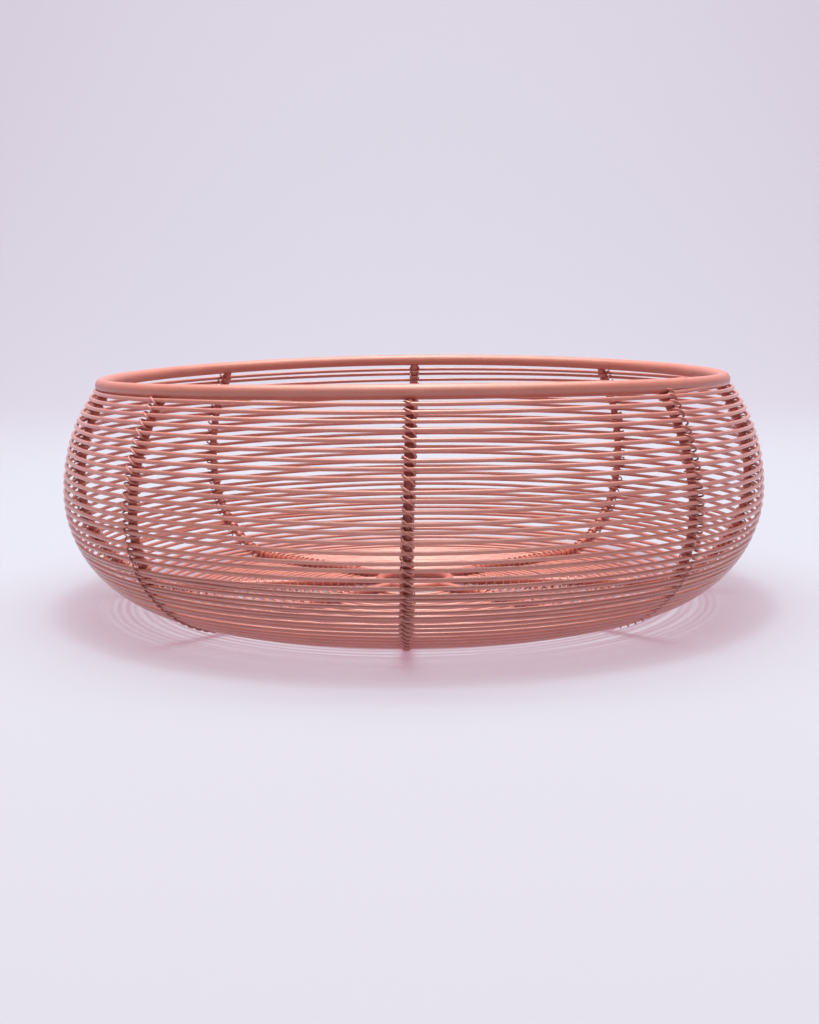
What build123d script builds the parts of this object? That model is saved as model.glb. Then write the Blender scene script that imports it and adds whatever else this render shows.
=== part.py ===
"""Round open-top produce basket woven from coloured wire.

A heavy round rim, eight ribs that run from the rim down the bulging side and under the base to a small
hub ring, closely spaced round wires outside the ribs, and one thin binding wire on each rib that wraps
the round wires to it, from the rim to a few rows short of the hub.

Millimetres, +Z up. The origin is on the surface that the basket stands on, in the middle of the base.
The front rib is towards -Y.
"""
from build123d import *
from math import asin, atan, cos, pi, radians, sin
import os

# --- driving dimensions ---------------------------------------------------------------------------
# wire stock
rim_dia = 6.4               # heavy round bar of the rim
rib_dia = 4.0               # round bar of the ribs
hub_dia = 5.0               # round bar of the hub ring
wire_dia = 1.9              # round wires that make the side and the base
lash_dia = 0.9              # soft binding wire

# rib centre line, from the rim down: upper arc, belly, lower arc, base
rim_radius = 154.0          # centre of the rim bar
rib_top_radius = 151.2      # rib centre line, level with the centre of the rim bar
belly_radius = 170.5        # rib centre line where the side is widest
belly_drop = 55.0           # widest level below the centre of the rim bar
lower_radius = 54.0         # arc that turns the side into the base
base_rise = 2.0             # the middle of the base stands this much higher than its edge
hub_radius = 18.0           # centre line of the hub ring

# rows of round wire, counted from the rim along the line of their centres
first_row_at = 7.45
open_rows, open_pitch = 20, 4.06        # upper side
close_rows, close_pitch = 8, 3.05       # lower side, packed closer
base_rows = 32                          # round the turn and across the base
rows_per_base_group = 4
last_row_to_hub = 2.55      # last row's centre, clear of the hub bar, with room for the last wrap

# binding wire
wire_gap = 0.05             # between a round wire and the rib
lash_gap = 0.05             # between the binding wire and the rib
wrap_gap = 0.10             # between the binding wire and a round wire
wrap_half_width = 3.0       # from the middle of the rib to the wire's legs
wrap_bend = 1.2             # bend radius of the binding wire
rim_wrap_offset = 1.45      # first wrap, above the first row
hub_wrap_offset = 2.0       # last wrap, past the last row that it binds
tail = 2.0                  # free end of the binding wire, past its last leg
bare_rows = {"square": 2, "diagonal": 5}    # rows nearest the hub that the binding wire leaves free

# --- derived dimensions -----------------------------------------------------------------------------
row_offset = rib_dia / 2 + wire_gap + wire_dia / 2              # row centre, out from the rib centre
outer_leg = row_offset + wire_dia / 2 + wrap_gap + lash_dia / 2     # binding wire outside the rows
inner_leg = rib_dia / 2 + lash_gap + lash_dia / 2               # binding wire inside the rib
rib_low = outer_leg + lash_dia / 2                              # lowest height of the rib centre line

upper_bulge = belly_radius - rib_top_radius
upper_radius = (belly_drop**2 + upper_bulge**2) / (2 * upper_bulge)
top_angle = asin(belly_drop / upper_radius)                     # outward slope of the rib at the rim
belly_height = rib_low + lower_radius
rim_height = belly_height + belly_drop
flat_run = belly_radius - lower_radius - hub_radius             # across the base, to the hub
base_slope = atan(base_rise / flat_run)

upper_arc_length = (upper_radius + row_offset) * top_angle      # along the line of row centres
lower_arc_length = (lower_radius + row_offset) * (pi / 2 + base_slope)
lower_centre = (belly_radius - lower_radius, belly_height)
upper_centre = (belly_radius - upper_radius, belly_height)


def side_point(along, out=0.0):
    """Radius and height of the point this far along the line of row centres, counted from the rim,
    and this far out from the rib centre line (negative is inside the basket)."""
    if along < upper_arc_length:
        angle = top_angle - along / (upper_radius + row_offset)
        centre, reach, run = upper_centre, upper_radius, 0.0
    else:
        turned = min((along - upper_arc_length) / (lower_radius + row_offset), pi / 2 + base_slope)
        angle = -turned
        run = max(0.0, along - upper_arc_length - lower_arc_length)
        centre, reach = lower_centre, lower_radius
    radius = centre[0] + (reach + out) * cos(angle) + run * sin(angle)
    height = centre[1] + (reach + out) * sin(angle) - run * cos(angle)
    return radius, height


def row_positions():
    """Distance along the side of every row of round wire, from the rim to the hub."""
    rows = [first_row_at + open_pitch * i for i in range(open_rows)]
    rows += [rows[-1] + close_pitch * (i + 1) for i in range(close_rows)]
    edge_radius = side_point(upper_arc_length + lower_arc_length, row_offset)[0]
    last_radius = hub_radius + hub_dia / 2 + last_row_to_hub
    last_row = upper_arc_length + lower_arc_length + (edge_radius - last_radius) / cos(base_slope)
    pitch = (last_row - rows[-1]) / base_rows
    rows += [rows[-1] + pitch * (i + 1) for i in range(base_rows)]
    return rows


rows = row_positions()
side_rows = rows[:open_rows + close_rows]
base_row_list = rows[open_rows + close_rows:]
rib_names = ["right", "back_right", "back", "back_left", "left", "front_left", "front", "front_right"]
rib_angles = {name: 45.0 * i for i, name in enumerate(rib_names)}       # degrees round from +X
rib_kinds = {name: "diagonal" if "_" in name else "square" for name in rib_names}

os.makedirs("parts", exist_ok=True)


def save(piece, name):
    piece.label = name
    export_step(piece, f"parts/{name}.step")


# --- rim: one closed ring of heavy bar --------------------------------------------------------------
with BuildPart() as rim:
    with BuildSketch(Plane.XZ):
        with Locations((rim_radius, rim_height)):
            Circle(rim_dia / 2)
    revolve(axis=Axis.Z)
save(rim.part, "rim_ring")

# --- hub: a small ring that the ribs end on ------------------------------------------------------------
hub_along = upper_arc_length + lower_arc_length + flat_run / cos(base_slope)
hub_height = side_point(hub_along)[1]
with BuildPart() as hub:
    with BuildSketch(Plane.XZ):
        with Locations((hub_radius, hub_height)):
            Circle(hub_dia / 2)
    revolve(axis=Axis.Z)
save(hub.part, "hub_ring")

# --- ribs: one bent bar, coped to the rim bar and to the hub bar, set eight times round --------------
with BuildPart() as rib:
    with BuildLine(Plane.XZ) as rib_route:
        CenterArc(upper_centre, upper_radius, top_angle * 180 / pi, -top_angle * 180 / pi)
        lower = CenterArc(lower_centre, lower_radius, 0, -(90 + base_slope * 180 / pi))
        Line(lower @ 1, side_point(hub_along))
    with BuildSketch(Plane(origin=rib_route.line @ 0, z_dir=rib_route.line % 0)):
        Circle(rib_dia / 2)
    sweep()
    add(rim.part, mode=Mode.SUBTRACT)
    add(hub.part, mode=Mode.SUBTRACT)

for name, angle in rib_angles.items():
    with BuildPart() as placed_rib:
        add(rib.part, rotation=(0, 0, angle))
    save(placed_rib.part, f"rib_{name}")

# --- rows of round wire ----------------------------------------------------------------------------------
for number, along in enumerate(side_rows, start=1):
    with BuildPart() as side_wire:
        with BuildSketch(Plane.XZ):
            with Locations(side_point(along, row_offset)):
                Circle(wire_dia / 2)
        revolve(axis=Axis.Z)
    save(side_wire.part, f"side_wire_{number:02d}")

for first in range(0, base_rows, rows_per_base_group):
    with BuildPart() as base_wires:
        with BuildSketch(Plane.XZ):
            for along in base_row_list[first:first + rows_per_base_group]:
                with Locations(side_point(along, row_offset)):
                    Circle(wire_dia / 2)
        revolve(axis=Axis.Z)
    save(base_wires.part, f"base_wires_{first // rows_per_base_group + 1:02d}")

# --- binding wire: one wrap over every row, a leg through each space between rows ---------------------
def wrap_point(across, along, out):
    """Point beside the rib that stands along +X: across is to the right, seen from outside."""
    radius, height = side_point(along, out)
    return (radius, across, height)


def lash_corners(bound):
    """Corners of the binding wire over these rows."""
    spaces = [bound[0] - rim_wrap_offset]
    spaces += [(upper + lower) / 2 for upper, lower in zip(bound, bound[1:])]
    spaces += [bound[-1] + hub_wrap_offset]
    corners = [wrap_point(wrap_half_width + tail, spaces[0], -inner_leg)]
    for upper, lower in zip(spaces, spaces[1:]):
        corners += [
            wrap_point(-wrap_half_width, upper, -inner_leg),
            wrap_point(-wrap_half_width, upper, outer_leg),
            wrap_point(wrap_half_width, lower, outer_leg),
            wrap_point(wrap_half_width, lower, -inner_leg),
        ]
    corners.append(wrap_point(-wrap_half_width - tail, spaces[-1], -inner_leg))
    return corners


lashings = {}
lash_lengths = {}
for kind, bare in bare_rows.items():
    with BuildPart() as lashing:
        with BuildLine() as lash_route:
            FilletPolyline(*lash_corners(rows[:-bare]), radius=wrap_bend)
        lash_wire = lash_route.wires()[0]
        with BuildSketch(Plane(origin=lash_wire @ 0, z_dir=lash_wire % 0)):
            Circle(lash_dia / 2)
        sweep()
    lashings[kind] = lashing.part
    lash_lengths[kind] = lash_wire.length

for name, angle in rib_angles.items():
    with BuildPart() as placed_lashing:
        add(lashings[rib_kinds[name]], rotation=(0, 0, angle))
    save(placed_lashing.part, f"lashing_{name}")

# --- what was made --------------------------------------------------------------------------------------
print(f"height {rim_height + rim_dia / 2:.1f}, width {2 * (belly_radius + outer_leg + lash_dia / 2):.1f}")
print(f"rows {len(rows)}, base pitch {base_row_list[1] - base_row_list[0]:.2f}, rib slope "
      f"{top_angle * 180 / pi:.1f} deg at the rim")
for kind, length in lash_lengths.items():
    print(f"{kind} binding wire {length:.0f} long, volume {lashings[kind].volume:.1f} of "
          f"{pi * (lash_dia / 2)**2 * length:.1f}")
print(f"rib volume {rib.part.volume:.0f}, in {len(rib.part.solids())} solid")
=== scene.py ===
"""Looks for the wire produce basket: smooth hand-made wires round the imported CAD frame.

The frame is the CAD model's: +Z up, the front rib towards -Y, the origin on the floor. Sizes are in
millimetres until they become the points and radii of a mesh, which are in metres.
"""
import math

import bpy
import numpy as np
from mathutils import Matrix, Vector


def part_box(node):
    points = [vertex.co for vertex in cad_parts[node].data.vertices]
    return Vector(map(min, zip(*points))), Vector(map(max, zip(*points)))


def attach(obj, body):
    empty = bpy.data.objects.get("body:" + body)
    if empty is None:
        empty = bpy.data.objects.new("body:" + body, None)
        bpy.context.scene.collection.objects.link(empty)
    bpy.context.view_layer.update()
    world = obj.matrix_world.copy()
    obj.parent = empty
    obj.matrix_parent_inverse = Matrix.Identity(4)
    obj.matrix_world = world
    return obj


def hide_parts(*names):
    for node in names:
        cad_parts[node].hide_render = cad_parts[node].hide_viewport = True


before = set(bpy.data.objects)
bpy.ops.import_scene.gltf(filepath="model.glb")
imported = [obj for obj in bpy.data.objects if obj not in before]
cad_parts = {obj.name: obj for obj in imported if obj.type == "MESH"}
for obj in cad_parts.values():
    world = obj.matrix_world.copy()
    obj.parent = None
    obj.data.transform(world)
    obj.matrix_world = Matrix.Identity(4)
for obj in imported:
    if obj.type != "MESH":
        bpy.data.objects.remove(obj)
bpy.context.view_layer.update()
random = np.random.default_rng(7)
mm = 0.001

# --- the CAD model's own dimensions, in millimetres -------------------------------------------------
rim_bar, rib_bar, hub_bar, row_wire, lash_wire = 6.4, 4.0, 5.0, 1.9, 0.9     # diameters
rim_corner = np.array(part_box("rim_ring")[1]) / mm
hub_corner = np.array(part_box("hub_ring")[1]) / mm
rim_radius = rim_corner[0] - rim_bar / 2        # centre lines of the two rings
rim_height = rim_corner[2] - rim_bar / 2
hub_radius = hub_corner[0] - hub_bar / 2
hub_height = hub_corner[2] - hub_bar / 2
rib_top_radius = 151.2      # rib centre line, level with the rim
belly_radius = 170.5        # rib centre line where the side is widest
belly_drop = 55.0           # widest level below the rim
lower_radius = 54.0         # arc that turns the side into the base
base_rise = 2.0             # the middle of the base stands this much higher than its edge
row_offset = 3.0            # rows, outside the rib centre line
outer_leg, inner_leg = 4.5, 2.5     # binding wire, outside and inside the rib centre line
first_row_at = 7.45         # below the rim, along the line of row centres
last_row_radius = 23.05
open_rows, open_pitch = 20, 4.06
close_rows, close_pitch = 8, 3.05
base_rows, rows_per_base_group = 32, 4
square_bare_rows, diagonal_bare_rows = 2, 5     # rows by the hub that the binding wire leaves free

# --- what a hand-made basket adds, in millimetres ---------------------------------------------------
saddle = 3.0                # the rim is this much lower at the sides than at the front and back
saddle_depth = 31.0         # and that dies away over this depth below the rim
row_waver = 0.45            # unevenness of the rows where they cross a rib
rim_clearance = 0.1         # the first turn runs this far under the rim bar
rim_ease = 0.3              # and leaves it this gently
start_drop = 1.6            # the long wire's end hangs this much lower
start_reach = 0.22          # and rises over this share of the space between two ribs
rib_lean = {                # a rib's distance round from its even place: at its top, and more at its foot
    "front": (0.5, -3.3),
    "back": (0.0, 5.0),
    "front_left": (2.4, -1.5),
}
rib_starts_at, rib_ends_before_hub = 4.7, 0.5   # along the side: just under the rim bar, inside the hub bar
top_weld, top_weld_length = 0.15, 2.2           # how much a weld thickens the end of a rib, and how far
hub_weld, hub_weld_length = 0.5, 1.2
seam_bead, seam_bead_width = 0.28, 2.6          # weld bead of the rim, and the hollow ground beside it
seam_hollow, seam_hollow_width, seam_hollow_at = 0.18, 2.0, 5.5
leg_offset = 2.5            # binding wire beside the rib, from its middle
wrap_waver = 0.16           # unevenness of the binding wire
wrap_tilt = 0.3             # share of that by which a whole wrap moves sideways
first_wrap_above, last_wrap_below = 1.5, 2.0    # its two ends, past the first and last row that it binds
boxy_wrap, round_wrap = 0.8, 1.05               # superellipse powers: at the side, and at the base
boxy_until, round_from = 60.0, 110.0            # along the side

# --- profile of the basket --------------------------------------------------------------------------
bulge = belly_radius - rib_top_radius
upper_radius = (belly_drop**2 + bulge**2) / (2 * bulge)
top_angle = math.asin(belly_drop / upper_radius)
belly_height = rim_height - belly_drop
flat_run = belly_radius - lower_radius - hub_radius
base_slope = math.atan(base_rise / flat_run)
upper_length = (upper_radius + row_offset) * top_angle
lower_turn = math.pi / 2 + base_slope
lower_length = (lower_radius + row_offset) * lower_turn
hub_along = upper_length + lower_length + flat_run / math.cos(base_slope)


def side_point(along, out):
    """Radius and height at this distance along the line of row centres, counted from the rim, and this
    far out from the rib centre line."""
    along, out = np.broadcast_arrays(np.asarray(along, float), np.asarray(out, float))
    upper = along < upper_length
    turned = np.clip((along - upper_length) / (lower_radius + row_offset), 0, lower_turn)
    angle = np.where(upper, top_angle - along / (upper_radius + row_offset), -turned)
    run = np.maximum(0, along - upper_length - lower_length)
    centre = np.where(upper, belly_radius - upper_radius, belly_radius - lower_radius)
    reach = np.where(upper, upper_radius, lower_radius) + out
    return (centre + reach * np.cos(angle) + run * np.sin(angle),
            belly_height + reach * np.sin(angle) - run * np.cos(angle))


def row_positions():
    """Distance along the side of every row, from the rim to the hub."""
    rows = [first_row_at + open_pitch * i for i in range(open_rows)]
    rows += [rows[-1] + close_pitch * (i + 1) for i in range(close_rows)]
    edge = float(side_point(upper_length + lower_length, row_offset)[0])
    last = upper_length + lower_length + (edge - last_row_radius) / math.cos(base_slope)
    pitch = (last - rows[-1]) / base_rows
    return np.array(rows + [rows[-1] + pitch * (i + 1) for i in range(base_rows)])


rows = row_positions()
row_count = len(rows)
rib_names = ["right", "back_right", "back", "back_left", "left", "front_left", "front", "front_right"]
rib_count = len(rib_names)
rib_angle = {name: 2 * math.pi * i / rib_count for i, name in enumerate(rib_names)}
seam_angle = rib_angle["front_right"]           # the long wire starts at this rib
front_share = 7 / 8                             # of a turn, from the seam round to the front rib


def spiral_waver():
    """Random offset of the long wire at every rib that it crosses, with none at its start."""
    offsets = random.normal(0, row_waver, row_count * rib_count + rib_count + 1)
    offsets[0] = 0
    return offsets


waver = spiral_waver()


def along_spiral(turn):
    """Distance down the side of the long wire after this many turns from its start at the rim."""
    turn = np.asarray(turn, float)
    row = turn - front_share
    last = row_count - 1
    along = np.interp(row, np.arange(row_count), rows)
    along = np.where(row < 0, rows[0] + row * open_pitch, along)
    along = np.where(row > last, rows[-1] + (row - last) * (rows[-1] - rows[-2]), along)
    # the first turn would run into the rim, so it eases along it
    touching = (rim_bar + row_wire) / 2 + rim_clearance
    along = touching + np.logaddexp(0, (along - touching) / rim_ease) * rim_ease
    start = start_drop * np.exp(-(turn * rib_count / start_reach)**2)
    # unevenness, blended from rib to rib, and none where the wire starts
    position = np.clip(turn, 0, row_count) * rib_count
    index = np.floor(position).astype(int)
    part = position - index
    blend = part * part * (3 - 2 * part)
    uneven = waver[index] * (1 - blend) + waver[index + 1] * blend
    settle = np.clip(turn / 0.5, 0, 1)
    return along + start + uneven * settle


def to_place(radius, angle, height, across=0.0):
    """Points in metres, with the basket's own slight warp."""
    radius, angle, height = (np.asarray(v, float) for v in (radius, angle, height))
    fade = np.exp(np.minimum(0, height - rim_height) / saddle_depth)
    at_floor = math.exp(-rim_height / saddle_depth)
    height = height - saddle * np.cos(angle)**2 * (fade - at_floor) / (1 - at_floor)
    x = radius * np.cos(angle) - across * np.sin(angle)
    y = radius * np.sin(angle) + across * np.cos(angle)
    return np.stack(np.broadcast_arrays(x, y, height), -1) * mm


def rib_shift(name, height):
    """How far a rib stands round from its even place at this height, towards the next rib's angle."""
    depth = (rim_height - np.asarray(height, float)) / rim_height
    at_top, more_at_foot = rib_lean.get(name, (0.0, 0.0))
    return at_top + more_at_foot * depth


# --- tubes ------------------------------------------------------------------------------------------
def carried_normals(path, tangent):
    """One normal for each point of a path, carried along it without twisting."""
    normal = np.cross(tangent[0], [0.3, 0.2, 1.0])
    normals = np.empty_like(path)
    for i in range(len(path)):
        normal = normal - tangent[i] * (normal @ tangent[i])
        normal = normal / np.linalg.norm(normal)
        normals[i] = normal
    return normals


def leftover_twist(normals, tangent):
    """Angle between the first normal and the last one after a whole lap."""
    last = normals[-1] - tangent[0] * (normals[-1] @ tangent[0])
    last /= np.linalg.norm(last)
    return math.atan2(np.cross(last, normals[0]) @ tangent[0], last @ normals[0])


def end_rings(path, tangent, ring, radius):
    """Two smaller rings past each end of a tube, which round it off: outermost first, outermost last."""
    ends = []
    for i, sign in ((0, -1), (-1, 1)):
        for push, shrink in ((0.45, 0.85), (0.8, 0.45)):
            centre = path[i] + tangent[i] * sign * radius[i] * push
            ends.append(centre + ring[i] * radius[i] * shrink)
    return [ends[1], ends[0]], [ends[2], ends[3]]


def tube(name, path, radius, sides, closed=False):
    """A smooth round bar along a path of points, with rounded ends unless it is closed."""
    path = np.asarray(path, float)
    count = len(path)
    radius = np.broadcast_to(np.asarray(radius, float), (count,))
    before, after = np.roll(path, 1, 0), np.roll(path, -1, 0)
    if not closed:
        before[0], after[-1] = path[0], path[-1]
    tangent = after - before
    tangent /= np.linalg.norm(tangent, axis=1)[:, None]
    normals = carried_normals(path, tangent)
    twist = np.linspace(0, leftover_twist(normals, tangent) if closed else 0.0, count)
    other = np.cross(tangent, normals)
    angle = twist[:, None] + np.linspace(0, 2 * math.pi, sides, endpoint=False)[None, :]
    ring = normals[:, None, :] * np.cos(angle)[..., None] + other[:, None, :] * np.sin(angle)[..., None]
    points = path[:, None, :] + ring * radius[:, None, None]
    if not closed:
        start, end = end_rings(path, tangent, ring, radius)
        points = np.concatenate([start, points, end])
    rings = len(points)
    i = np.arange(rings if closed else rings - 1)[:, None] * sides
    j = np.arange(sides)[None, :]
    k = (j + 1) % sides
    n = (i + sides) % (rings * sides)
    faces = np.stack(np.broadcast_arrays(i + j, i + k, n + k, n + j), -1).reshape(-1, 4).tolist()
    if not closed:
        faces.append(list(range(sides - 1, -1, -1)))
        faces.append(list(range((rings - 1) * sides, rings * sides)))
    mesh = bpy.data.meshes.new(name)
    mesh.from_pydata(points.reshape(-1, 3).tolist(), [], faces)
    mesh.shade_smooth()
    mesh.update()
    piece = bpy.data.objects.new(name, mesh)
    bpy.context.scene.collection.objects.link(piece)
    return piece


def finish_piece(piece, material, slot, *nodes):
    piece.data.materials.append(material)
    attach(piece, "root")
    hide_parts(*nodes)


# --- materials --------------------------------------------------------------------------------------
def powder_coat(name, colour, dark, grain, roughness, gloss):
    """Satin powder coat: fine orange-peel bump, soft mottling and a little clear gloss."""
    material = bpy.data.materials.new(name)
    material.use_nodes = True
    nodes, links = material.node_tree.nodes, material.node_tree.links
    shader = nodes["Principled BSDF"]
    shader.inputs["Coat Weight"].default_value = gloss
    shader.inputs["Coat Roughness"].default_value = 0.28
    shader.inputs["Specular IOR Level"].default_value = 0.9
    place = nodes.new("ShaderNodeTexCoord")

    mottle = nodes.new("ShaderNodeTexNoise")
    mottle.inputs["Scale"].default_value = 60.0
    mottle.inputs["Detail"].default_value = 5.0
    links.new(place.outputs["Object"], mottle.inputs["Vector"])
    tint = nodes.new("ShaderNodeValToRGB")
    tint.color_ramp.elements[0].position = 0.3
    tint.color_ramp.elements[0].color = (*dark, 1)
    tint.color_ramp.elements[1].position = 0.7
    tint.color_ramp.elements[1].color = (*colour, 1)
    links.new(mottle.outputs["Fac"], tint.inputs["Fac"])
    links.new(tint.outputs["Color"], shader.inputs["Base Color"])

    sheen = nodes.new("ShaderNodeMapRange")
    sheen.inputs["To Min"].default_value = roughness - 0.07
    sheen.inputs["To Max"].default_value = roughness + 0.07
    links.new(mottle.outputs["Fac"], sheen.inputs["Value"])
    links.new(sheen.outputs["Result"], shader.inputs["Roughness"])

    peel = nodes.new("ShaderNodeTexNoise")
    peel.inputs["Scale"].default_value = grain
    peel.inputs["Detail"].default_value = 3.0
    links.new(place.outputs["Object"], peel.inputs["Vector"])
    bump = nodes.new("ShaderNodeBump")
    bump.inputs["Strength"].default_value = 0.20
    bump.inputs["Distance"].default_value = 0.00008
    links.new(peel.outputs["Fac"], bump.inputs["Height"])
    links.new(bump.outputs["Normal"], shader.inputs["Normal"])
    return material


rim_coat = powder_coat("rim_coat", (0.58, 0.205, 0.155), (0.52, 0.172, 0.127), 900, 0.46, 0.25)
# The ribs and hub take the wires' powder coat made darker: painted shade for the recesses where the ribs
# sit under the binding wire.
rib_coat_painted_shade = powder_coat("rib_coat_painted_shade", (0.50, 0.13, 0.095), (0.42, 0.10, 0.072), 1200, 0.42, 0.3)
wire_coat = powder_coat("wire_coat", (0.64, 0.240, 0.190), (0.57, 0.205, 0.160), 1500, 0.31, 0.6)
lash_coat = powder_coat("lash_coat", (0.60, 0.20, 0.155), (0.47, 0.14, 0.105), 2200, 0.30, 0.6)


# --- camera -----------------------------------------------------------------------------------------
def make_camera():
    """A view from a little above the rim, slightly downwards, at the middle of the basket."""
    camera = bpy.data.objects.new("camera", bpy.data.cameras.new("camera"))
    bpy.context.scene.collection.objects.link(camera)
    camera.data.lens = 49.9
    camera.data.sensor_width = 36.0
    camera.data.shift_x = -0.0045
    camera.data.clip_start = 0.01
    camera.location = (0.0068, -0.7215, 0.1498)
    pitch, roll = math.radians(8.46), math.radians(0.62)
    yaw = math.atan2(camera.location.x, -camera.location.y)
    turn = Matrix.Rotation(yaw, 3, "Z") @ Matrix.Rotation(math.pi / 2 - pitch, 3, "X")
    turn = turn @ Matrix.Rotation(-roll, 3, "Z")
    camera.rotation_euler = turn.to_euler()
    bpy.context.scene.camera = camera


# --- rim and hub ------------------------------------------------------------------------------------
def make_rim():
    """The heavy ring, with its weld bead a little past the front-right rib."""
    angle = np.linspace(0, 2 * math.pi, 480, endpoint=False)
    path = to_place(rim_radius, angle, rim_height)
    seam = seam_angle + math.radians(5.0)
    away = np.angle(np.exp(1j * (angle - seam))) * rim_radius
    bead = seam_bead * np.exp(-(away / seam_bead_width)**2)
    hollow = seam_hollow * np.exp(-((away - seam_hollow_at) / seam_hollow_width)**2)
    piece = tube("rim", path, (rim_bar / 2 + bead - hollow) * mm, 32, closed=True)
    finish_piece(piece, rim_coat, "rim_bar", "rim_ring")


def make_hub():
    angle = np.linspace(0, 2 * math.pi, 120, endpoint=False)
    path = to_place(hub_radius, angle, hub_height)
    piece = tube("hub", path, hub_bar / 2 * mm, 24, closed=True)
    finish_piece(piece, rib_coat_painted_shade, "rib_bar", "hub_ring")


# --- ribs -------------------------------------------------------------------------------------------
def make_rib(name):
    """One bent bar from the rim to the hub, a little thicker at the welds."""
    along = np.linspace(rib_starts_at, hub_along - rib_ends_before_hub, 260)
    radius, height = side_point(along, 0.0)
    path = to_place(radius, rib_angle[name], height, rib_shift(name, height))
    step = np.linalg.norm(np.diff(path, axis=0), axis=1)
    run = np.concatenate([[0], np.cumsum(step)]) / mm
    top = top_weld * np.exp(-(run / top_weld_length)**2)
    foot = hub_weld * np.exp(-(run[-1] - run) / hub_weld_length)
    piece = tube(f"rib_bar_{name}", path, (rib_bar / 2 + top + foot) * mm, 20)
    finish_piece(piece, rib_coat_painted_shade, "rib_bar", f"rib_{name}")


# --- rows of the long wire --------------------------------------------------------------------------
def spiral_path(first_turn, last_turn, steps_per_turn=288):
    turn = np.linspace(first_turn, last_turn, int((last_turn - first_turn) * steps_per_turn) + 1)
    radius, height = side_point(along_spiral(turn), row_offset)
    return to_place(radius, seam_angle + 2 * math.pi * turn, height)


def make_turns(name, node, first_turn, last_turn):
    piece = tube(name, spiral_path(first_turn, last_turn), row_wire / 2 * mm, 12)
    finish_piece(piece, wire_coat, "round_wire", node)


def make_rows():
    """One piece for each turn of the side, and one for every few turns of the base."""
    side_rows = open_rows + close_rows
    for turn in range(side_rows):
        make_turns(f"side_turn_{turn + 1:02d}", f"side_wire_{turn + 1:02d}", turn, turn + 1)
    for group in range(base_rows // rows_per_base_group):
        first = side_rows + group * rows_per_base_group
        make_turns(f"base_turns_{group + 1:02d}", f"base_wires_{group + 1:02d}",
                   first, first + rows_per_base_group)


# --- binding wires ----------------------------------------------------------------------------------
wrap_middle, wrap_half = (outer_leg - inner_leg) / 2, (outer_leg + inner_leg) / 2
wrap_steps = 28
outside_steps = wrap_steps * 9 // 16            # the pass over the row gets the greater share


def superellipse(angle, power):
    c, s = np.cos(angle), np.sin(angle)
    return np.sign(c) * np.abs(c)**power, np.sign(s) * np.abs(s)**power


def wrap_points(upper, lower):
    """One wrap, as points (across, along, out): over a row from the space above it to the space below,
    sloping down to the right, then level back to the left inside the rib."""
    wide = leg_offset + abs(random.normal(0, wrap_waver))
    tilt = random.normal(0, wrap_waver)
    power = np.interp(upper, (boxy_until, round_from), (boxy_wrap, round_wrap))
    across, out = superellipse(np.linspace(math.pi, 0, outside_steps, endpoint=False), power)
    share = (1 - np.cos(np.linspace(0, math.pi, outside_steps, endpoint=False))) / 2
    along = upper + (lower - upper) * share
    over = np.stack([across * wide + tilt * wrap_tilt, along, wrap_middle + out * wrap_half], -1)
    across, out = superellipse(np.linspace(0, -math.pi, wrap_steps - outside_steps, endpoint=False), power)
    level = np.full(len(across), lower)
    back = np.stack([across * wide, level, wrap_middle + out * wrap_half], -1)
    return [over, back]


def make_lashing(name):
    """The binding wire of one rib, with a wrap over every row down to the last ones by the hub."""
    bound = row_count - (diagonal_bare_rows if "_" in name else square_bare_rows)
    share = ((rib_angle[name] - seam_angle) / (2 * math.pi)) % 1.0
    turns = np.arange(bound) + share
    if name == "front_right":
        # the long wire starts here, so this rib binds its very end too
        turns = np.arange(bound + 1.0)
        turns[0] = 0.02
    crossing = along_spiral(turns)
    between = (crossing[1:] + crossing[:-1]) / 2
    spaces = np.concatenate([[crossing[0] - first_wrap_above], between, [crossing[-1] + last_wrap_below]])
    wraps = []
    for upper, lower in zip(spaces, spaces[1:]):
        wraps += wrap_points(upper, lower)
    across, along, out = np.concatenate(wraps).T
    radius, height = side_point(along, out)
    rib_height = side_point(along, 0.0)[1]
    path = to_place(radius, rib_angle[name], height, across + rib_shift(name, rib_height))
    piece = tube(f"binding_{name}", path, lash_wire / 2 * mm, 8)
    finish_piece(piece, lash_coat, "binding_wire", f"lashing_{name}")


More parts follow.
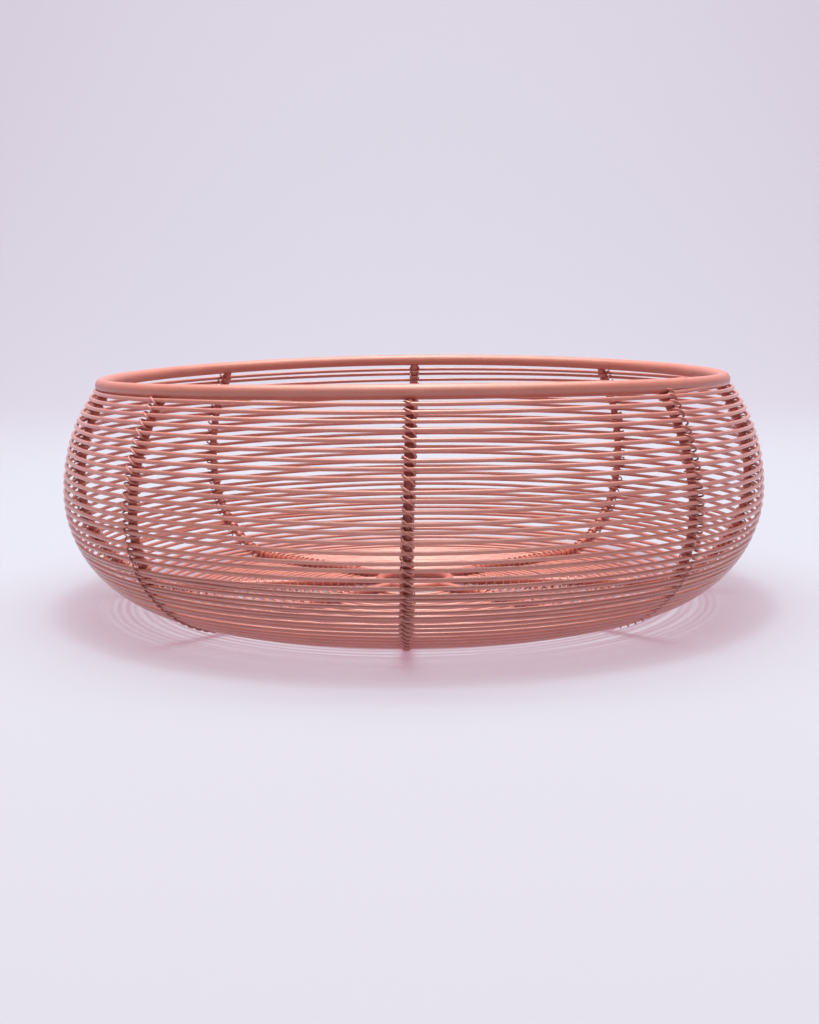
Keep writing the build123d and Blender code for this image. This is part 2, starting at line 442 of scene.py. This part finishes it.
# --- floor, backdrop and light ----------------------------------------------------------------------
def floor_paper_painted_light():
    """Pale paper with painted light: a pink glow that stands in for light bounced into the shadows, and a
    cool tint that balances it.
    The glow and the tint fade away under the basket, a painted shadow that keeps it deep there."""
    material = bpy.data.materials.new("floor_paper_painted_light")
    material.use_nodes = True
    nodes, links = material.node_tree.nodes, material.node_tree.links
    shader = nodes["Principled BSDF"]
    shader.inputs["Roughness"].default_value = 0.7
    shader.inputs["Specular IOR Level"].default_value = 0.2
    # Painted light: the floor glows pink, standing in for light bounced into the basket's shadow.
    shader.inputs["Emission Color"].default_value = (1.0, 0.50, 0.64, 1)
    place = nodes.new("ShaderNodeTexCoord")
    distance = nodes.new("ShaderNodeVectorMath")
    distance.operation = "LENGTH"
    links.new(place.outputs["Object"], distance.inputs[0])
    # Painted shadow: the glow and the cool tint give way towards the middle of the basket.
    clear_of_painted_shadow = nodes.new("ShaderNodeMapRange")
    clear_of_painted_shadow.interpolation_type = "SMOOTHSTEP"
    clear_of_painted_shadow.inputs["From Min"].default_value = 0.03
    clear_of_painted_shadow.inputs["From Max"].default_value = 0.13
    links.new(distance.outputs["Value"], clear_of_painted_shadow.inputs["Value"])
    glow = nodes.new("ShaderNodeMath")
    glow.operation = "MULTIPLY_ADD"
    glow.inputs[1].default_value = 0.30
    glow.inputs[2].default_value = 0.12
    links.new(clear_of_painted_shadow.outputs["Result"], glow.inputs[0])
    links.new(glow.outputs["Value"], shader.inputs["Emission Strength"])
    # The cool base colour balances the pink glow of painted light; under the basket it turns neutral.
    tint = nodes.new("ShaderNodeValToRGB")
    tint.color_ramp.elements[0].color = (0.230, 0.200, 0.215, 1)
    tint.color_ramp.elements[1].color = (0.192, 0.318, 0.352, 1)
    links.new(clear_of_painted_shadow.outputs["Result"], tint.inputs["Fac"])
    links.new(tint.outputs["Color"], shader.inputs["Base Color"])
    return material


def make_stage():
    """A pale floor that curves up into a backdrop far behind the basket, in metres."""
    near, far, bend, top, half_width = -9.0, 1.2, 1.0, 4.0, 9.0
    steps = 24
    profile = [(near, 0.0), (far, 0.0)]
    for i in range(1, steps + 1):
        angle = math.pi / 2 * i / steps
        profile.append((far + bend * math.sin(angle), bend * (1 - math.cos(angle))))
    profile.append((far + bend, top))
    vertices = [(x, y, z) for y, z in profile for x in (-half_width, half_width)]
    faces = [(2 * i, 2 * i + 1, 2 * i + 3, 2 * i + 2) for i in range(len(profile) - 1)]
    mesh = bpy.data.meshes.new("floor")
    mesh.from_pydata(vertices, [], faces)
    mesh.shade_smooth()
    mesh.materials.append(floor_paper_painted_light())
    floor = bpy.data.objects.new("floor", mesh)
    bpy.context.scene.collection.objects.link(floor)


def area_light(name, place, aim, size, power, colour=(1, 1, 1)):
    light = bpy.data.lights.new(name, "AREA")
    light.shape = "RECTANGLE"
    light.size, light.size_y = size
    light.energy = power
    light.color = colour
    lamp = bpy.data.objects.new(name, light)
    lamp.location = place
    lamp.rotation_euler = (Vector(aim) - Vector(place)).to_track_quat("-Z", "Y").to_euler()
    bpy.context.scene.collection.objects.link(lamp)


def make_light():
    """A wide softbox overhead, a small lamp for a trace of hard shadow, and a wash on the backdrop."""
    warm = (1.0, 0.955, 0.89)
    area_light("top_softbox", (0.0, -0.15, 1.60), (0, -0.15, 0), (2.0, 2.2), 50, warm)
    area_light("key", (0.0, 0.0, 1.58), (0, 0, 0), (0.25, 0.25), 7, warm)
    area_light("backdrop_wash", (0.0, 0.7, 2.0), (0, 2.2, 0.8), (3.0, 0.6), 41)
    world = bpy.data.worlds.new("studio")
    world.use_nodes = True
    background = world.node_tree.nodes["Background"]
    background.inputs["Color"].default_value = (0.80, 0.78, 0.86, 1)
    background.inputs["Strength"].default_value = 0.20
    bpy.context.scene.world = world


make_camera()
make_rim()
make_hub()
for rib_name in rib_names:
    make_rib(rib_name)
    make_lashing(rib_name)
make_rows()
make_stage()
make_light()
bpy.context.scene.view_settings.view_transform = "Standard"
